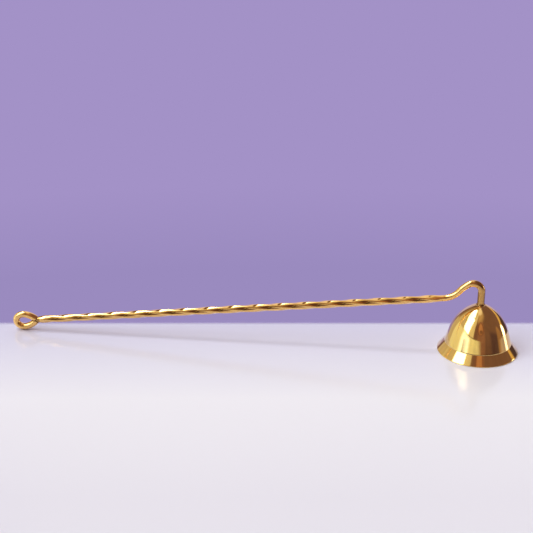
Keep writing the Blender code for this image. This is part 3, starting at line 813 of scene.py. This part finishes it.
# Past its far edge the table is gone, and the lilac behind it shows.
beyond = add_node(tree, "ShaderNodeMapRange", {
    "Value": behind, 1: LINE_BEHIND - LINE_SOFTNESS, 2: LINE_BEHIND + LINE_SOFTNESS},
    interpolation_type="SMOOTHSTEP").outputs["Result"]
gone = add_node(tree, "ShaderNodeBsdfTransparent").outputs["BSDF"]
ended = add_node(tree, "ShaderNodeMixShader", {0: beyond, 1: surface.outputs["BSDF"], 2: gone})
add_node(tree, "ShaderNodeOutputMaterial", {"Surface": ended.outputs["Shader"]})
floor_mesh.materials.append(paint)

# The light of the room, as linear red, green and blue. Patches are painted over each other and over a dim
# warm tone, as corners (azimuth, height) in degrees, softness and light. Azimuth 0 is the camera's side of
# the bell, and azimuth grows towards the bell's end of the tool, from behind it at the left all the way
# round. Two pairs stand for an oval: its middle and its half widths, with its softness as a share of them.
LILAC = "#A392C7"
LILAC_LOW = "#9A8BBF"
# The lilac is darker towards the table, between these heights.
LILAC_RISE = (-23.0, -19.0)
ROOM_START = -144.0
DIM = (0.20, 0.115, 0.105)
STREAK_SCALE = (9.0, 9.0, 1.8)
STREAK_DARK = 0.93
STREAK_BRIGHT = 1.07
ROOM = [
    (((-150, -95), (-23, -95), (-23, 95), (-150, 95)), 4.0, (0.64, 0.56, 0.40)),
    (((-150, 8), (-134, 12), (-134, 95), (-150, 95)), 3.0, (0.33, 0.22, 0.13)),
    (((-47, 10), (-24, 10), (-24, 95), (-47, 95)), 2.5, (0.84, 0.78, 0.58)),
    (((-24, -95), (-7, -95), (-7, 50), (-24, 50)), 2.0, (0.22, 0.12, 0.11)),
    (((-8, -95), (22, -95), (22, 95), (-8, 95)), 4.0, (0.31, 0.165, 0.135)),
    (((44, -95), (76, -95), (76, 14), (44, 30)), 7.0, (0.11, 0.063, 0.08)),
    (((-20, 50), (16, 60), (140, 72), (140, 95), (-20, 95)), 10.0, (0.56, 0.40, 0.25)),
    (((73, -95), (95, -95), (93, 14), (88, 26), (80, 26), (73, 8)), 2.5, (0.36, 0.21, 0.13)),
    (((122, -95), (150, -95), (150, 11), (122, 11)), 3.0, (0.08, 0.05, 0.06)),
    (((104, 11), (134, 11), (149, 17), (149, 27), (118, 20)), 2.0, (0.80, 0.55, 0.21)),
    (((103, -95), (122, -95), (121, 14), (106, 14)), 2.0, (0.66, 0.44, 0.16)),
    (((111, 3), (7.0, 10.0)), 0.25, (4.2, 4.2, 4.4)),
    (((-126, -95), (8, -95), (8, 8), (-46, 19.5), (-76, 25), (-116, 21)), 1.5, (0.94, 0.95, 0.70)),
    (((-84, -95), (-44, -95), (-36, 11), (-50, 19.5), (-70, 24)), 6.0, (1.80, 2.00, 2.40)),
    (((-46, 18.6), (-13, 11.2), (-13, 13.4), (-46, 20.8)), 0.8, (0.24, 0.20, 0.16)),
    (((-77, 27), (-47, 21), (-46, 62), (-99, 66)), 1.5, (4.0, 4.3, 4.9)),
    (((-126, 60), (-84, 41), (-84, 62)), 1.5, (3.0, 3.3, 3.9)),
    (((-104, 62), (-46, 60), (-62, 70), (-96, 77), (-122, 77), (-132, 60)), 1.5, (4.0, 4.3, 4.9)),
    (((-129, 61), (-103, 61), (-101, 70), (-123, 70)), 1.0, (20.0, 20.8, 22.2)),
    (((5, 42), (16, 18)), 0.14, (0.22, 0.10, 0.08)),
    (((5, 42), (11, 15)), 0.2, (0.52, 0.265, 0.16)),
    (((7, 34), (7, 5)), 0.3, (0.23, 0.12, 0.09)),
    (((145, -95), (222, -95), (222, 8), (208, 30), (208, 95), (150, 95)), 3.0, (0.62, 0.55, 0.86)),
    (((147, -95), (216, -95), (216, -3), (147, -3)), 3.0, (0.37, 0.29, 0.57)),
    (((158, 28), (202, 28), (202, 95), (158, 95)), 4.0, (0.95, 0.90, 0.92)),
    (((-60, -95), (60, -95), (60, 3), (20, 8), (-60, 6)), 1.5, (0.05, 0.02, 0.016)),
    (((-200, 80), (260, 80), (260, 95), (-200, 95)), 4.0, (1.00, 0.92, 0.80)),
]
world = bpy.data.worlds.new("room")
bpy.context.scene.world = world
world.use_nodes = True
tree = world.node_tree
tree.nodes.clear()
looking = add_node(tree, "ShaderNodeTexCoord").outputs["Generated"]
split = add_node(tree, "ShaderNodeSeparateXYZ", {0: looking}).outputs
to_camera = add_node(tree, "ShaderNodeMath", {0: split["Y"], 1: -1.0}, operation="MULTIPLY").outputs[0]
azimuth = split["X"]
for operation, value in (("ARCTAN2", to_camera), ("DEGREES", 0.0), ("SUBTRACT", ROOM_START),
                         ("FLOORED_MODULO", 360.0), ("ADD", ROOM_START)):
    azimuth = add_node(tree, "ShaderNodeMath", {0: azimuth, 1: value}, operation=operation).outputs[0]
height = split["Z"]
for operation in ("ARCSINE", "DEGREES"):
    height = add_node(tree, "ShaderNodeMath", {0: height}, operation=operation).outputs[0]
aim = add_node(tree, "ShaderNodeCombineXYZ", {0: azimuth, 1: height, 2: 1.0}).outputs[0]
light = (*DIM, 1.0)
for corners, soft, colour in ROOM:
    # Each side of a patch is a value with where it is outside and where inside.
    sides = []
    if len(corners) == 2:
        middle, half_widths = corners
        share = add_node(tree, "ShaderNodeVectorMath", {0: aim, 1: (*middle, 1.0)}, operation="SUBTRACT")
        share = add_node(tree, "ShaderNodeVectorMath", {0: share.outputs[0], 1: (*half_widths, 1.0)},
                         operation="DIVIDE")
        share = add_node(tree, "ShaderNodeVectorMath", {0: share.outputs[0]}, operation="LENGTH")
        sides.append((share.outputs["Value"], 1.0 + soft, 1.0 - soft))
        corners = ()
    for (turn, rise), (next_turn, next_rise) in zip(corners, corners[1:] + corners[:1]):
        if turn == next_turn and ROOM_START < turn < ROOM_START + 360.0:
            edge = math.copysign(soft, rise - next_rise)
            sides.append((azimuth, turn - edge, turn + edge))
        elif rise == next_rise and abs(rise) < 90.0:
            edge = math.copysign(soft, next_turn - turn)
            sides.append((height, rise - edge, rise + edge))
        elif turn != next_turn and rise != next_rise:
            length = math.dist((turn, rise), (next_turn, next_rise))
            across = ((rise - next_rise) / length, (next_turn - turn) / length,
                      (turn * next_rise - rise * next_turn) / length)
            inward = add_node(tree, "ShaderNodeVectorMath", {0: aim, 1: across}, operation="DOT_PRODUCT")
            sides.append((inward.outputs["Value"], -soft, soft))
    mask = 1.0
    for value, outside, inside in sides:
        side = add_node(tree, "ShaderNodeMapRange", {"Value": value, 1: outside, 2: inside},
                        interpolation_type="SMOOTHSTEP").outputs["Result"]
        mask = add_node(tree, "ShaderNodeMath", {0: mask, 1: side}, operation="MULTIPLY").outputs[0]
    light = add_node(tree, "ShaderNodeMix", {0: mask, 6: light, 7: (*colour, 1.0)},
                     data_type="RGBA").outputs[2]
# Furniture and curtains, as upright streaks that are a little brighter or darker
stretched = add_node(tree, "ShaderNodeVectorMath", {0: looking, 1: STREAK_SCALE}, operation="MULTIPLY")
clutter = add_node(tree, "ShaderNodeTexNoise", {"Vector": stretched.outputs[0], "Scale": 1.0, "Detail": 3.0})
streaks = add_node(tree, "ShaderNodeMapRange", {
    "Value": clutter.outputs["Fac"], 1: 0.3, 2: 0.7, 3: STREAK_DARK, 4: STREAK_BRIGHT}).outputs["Result"]
light = add_node(tree, "ShaderNodeVectorMath", {0: light, "Scale": streaks}, operation="SCALE").outputs[0]
# The camera sees plain lilac past the table. Low down the room holds the same lilac there, so that the brass
# and the table mirror it.
seen = add_node(tree, "ShaderNodeLightPath").outputs["Is Camera Ray"]
rise = add_node(tree, "ShaderNodeMapRange", {"Value": height, 1: LILAC_RISE[0], 2: LILAC_RISE[1]})
lilac = add_node(tree, "ShaderNodeMix", {0: rise.outputs["Result"], 6: linear(LILAC_LOW), 7: linear(LILAC)},
                 data_type="RGBA").outputs[2]
shown = add_node(tree, "ShaderNodeMix", {0: seen, 6: light, 7: lilac}, data_type="RGBA").outputs[2]
background = add_node(tree, "ShaderNodeBackground", {"Color": shown, "Strength": 1.0})
add_node(tree, "ShaderNodeOutputWorld", {"Surface": background.outputs["Background"]})

# Camera, placed by the pixels of the photograph: a little above the tool and turned 6 degrees to its left
CAMERA_PLACE = Vector((bell_axis - 0.05374, -0.52463, 0.26419))
CAMERA_FALL = math.radians(22.98)
CAMERA_LENS = 77.97
SENSOR_WIDTH = 36.0
camera_data = bpy.data.cameras.new("camera")
camera_data.sensor_width = SENSOR_WIDTH
camera_data.lens = CAMERA_LENS
camera = bpy.data.objects.new("camera", camera_data)
right = Vector((math.cos(CAMERA_TURN), math.sin(CAMERA_TURN), 0.0))
back = Vector((math.sin(CAMERA_TURN) * math.cos(CAMERA_FALL),
               -math.cos(CAMERA_TURN) * math.cos(CAMERA_FALL), math.sin(CAMERA_FALL)))
facing = Matrix((right, back.cross(right), back)).transposed()
camera.matrix_world = Matrix.Translation(CAMERA_PLACE) @ facing.to_4x4()
bpy.context.scene.collection.objects.link(camera)
bpy.context.scene.camera = camera
bpy.context.scene.view_settings.view_transform = "Standard"
